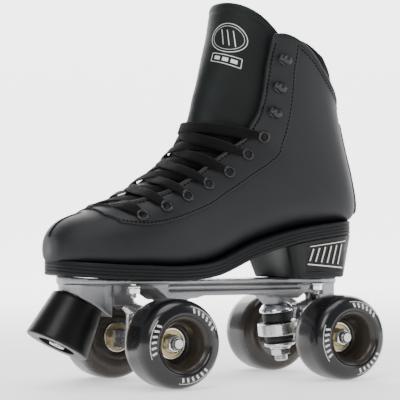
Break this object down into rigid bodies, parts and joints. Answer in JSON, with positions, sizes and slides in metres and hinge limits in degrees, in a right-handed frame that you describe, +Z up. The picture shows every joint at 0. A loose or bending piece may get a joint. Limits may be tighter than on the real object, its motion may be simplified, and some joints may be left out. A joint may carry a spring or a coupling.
{
  "type": "quad roller skate",
  "caption": "High laced skating boot on a cast plate, with sprung steering trucks, free-rolling wheels on ball bearings and a bolted rubber toe stop.",
  "frame": {"origin": "on the floor, under the middle of the skate's bounding box", "axes": "+X from the heel to the toe, +Y to the skate's left, +Z up"},
  "size_m": [0.2672, 0.1354, 0.2774],
  "materials": {
    "boot_leather": "fine grained black with a soft sheen",
    "tongue_leather": "smooth dark grey-green",
    "trim_leather": "smooth black, stitched",
    "padding_fabric": "matt black knit",
    "insole_fabric": "grey felt",
    "lace_fabric": "flat black weave",
    "sole_rubber": "charcoal, satin",
    "heel_rubber": "charcoal, satin",
    "cast_aluminium": "cast and tumbled, bright edges",
    "stop_rubber": "glossy black",
    "cushion_rubber": "matt black",
    "cup_plastic": "black",
    "zinc_steel": "zinc plated",
    "polished_steel": "polished",
    "axle_steel": "bright",
    "bearing_steel": "gold tinted shields",
    "wheel_urethane": "smoky near-black, glossy"
  },
  "bodies": {
    "skate": {"boot_upper": "boot_leather", "tongue": "tongue_leather", "collar_padding": "padding_fabric", "insole": "insole_fabric", "left_eyestay": "trim_leather", "right_eyestay": "trim_leather", "backstay": "trim_leather", "laces": "lace_fabric", "outsole": "sole_rubber", "heel_block": "heel_rubber", "plate": "cast_aluminium", "toe_stop": "stop_rubber", "toe_stop_washer": "zinc_steel", "toe_stop_bolt": "zinc_steel", "rear_left_sole_bolt": "zinc_steel", "rear_left_sole_nut": "zinc_steel", "rear_right_sole_bolt": "zinc_steel", "rear_right_sole_nut": "zinc_steel", "front_left_sole_bolt": "zinc_steel", "front_left_sole_nut": "zinc_steel", "front_right_sole_bolt": "zinc_steel", "front_right_sole_nut": "zinc_steel", "front_kingpin": "zinc_steel", "front_cushion_retainer": "polished_steel", "front_upper_cushion": "cushion_rubber", "front_lower_cushion": "cushion_rubber", "front_cushion_washer": "zinc_steel", "front_kingpin_nut": "zinc_steel", "front_pivot_cup": "cup_plastic", "rear_kingpin": "zinc_steel", "rear_cushion_retainer": "polished_steel", "rear_upper_cushion": "cushion_rubber", "rear_lower_cushion": "cushion_rubber", "rear_cushion_washer": "zinc_steel", "rear_kingpin_nut": "zinc_steel", "rear_pivot_cup": "cup_plastic"},
    "front_truck": {"front_hanger": "cast_aluminium", "front_axle": "axle_steel", "front_left_axle_nut": "polished_steel", "front_right_axle_nut": "polished_steel"},
    "rear_truck": {"rear_hanger": "cast_aluminium", "rear_axle": "axle_steel", "rear_left_axle_nut": "polished_steel", "rear_right_axle_nut": "polished_steel"},
    "front_left_roller": {"front_left_wheel": "wheel_urethane", "front_left_inner_bearing": "bearing_steel", "front_left_outer_bearing": "bearing_steel"},
    "front_right_roller": {"front_right_wheel": "wheel_urethane", "front_right_inner_bearing": "bearing_steel", "front_right_outer_bearing": "bearing_steel"},
    "rear_left_roller": {"rear_left_wheel": "wheel_urethane", "rear_left_inner_bearing": "bearing_steel", "rear_left_outer_bearing": "bearing_steel"},
    "rear_right_roller": {"rear_right_wheel": "wheel_urethane", "rear_right_inner_bearing": "bearing_steel", "rear_right_outer_bearing": "bearing_steel"}
  },
  "joints": [
    {"name": "front_steer", "type": "hinge", "parent": "skate", "child": "front_truck", "pos_m": [0.02784, 0, 0.0357], "axis": [0.8565, 0, 0.5161], "range_deg": [-10, 10], "stiffness_Nm_per_rad": 25, "deforming": ["front_upper_cushion", "front_lower_cushion"]},
    {"name": "rear_steer", "type": "hinge", "parent": "skate", "child": "rear_truck", "pos_m": [-0.06916, 0, 0.0357], "axis": [-0.8565, 0, 0.5161], "range_deg": [-10, 10], "stiffness_Nm_per_rad": 25, "deforming": ["rear_upper_cushion", "rear_lower_cushion"]},
    {"name": "front_left_spin", "type": "hinge", "parent": "front_truck", "child": "front_left_roller", "pos_m": [0.04984, 0.04845, 0.031], "axis": [0, 1, 0], "continuous": true},
    {"name": "front_right_spin", "type": "hinge", "parent": "front_truck", "child": "front_right_roller", "pos_m": [0.04984, -0.04845, 0.031], "axis": [0, 1, 0], "continuous": true},
    {"name": "rear_left_spin", "type": "hinge", "parent": "rear_truck", "child": "rear_left_roller", "pos_m": [-0.09116, 0.04845, 0.031], "axis": [0, 1, 0], "continuous": true},
    {"name": "rear_right_spin", "type": "hinge", "parent": "rear_truck", "child": "rear_right_roller", "pos_m": [-0.09116, -0.04845, 0.031], "axis": [0, 1, 0], "continuous": true}
  ]
}
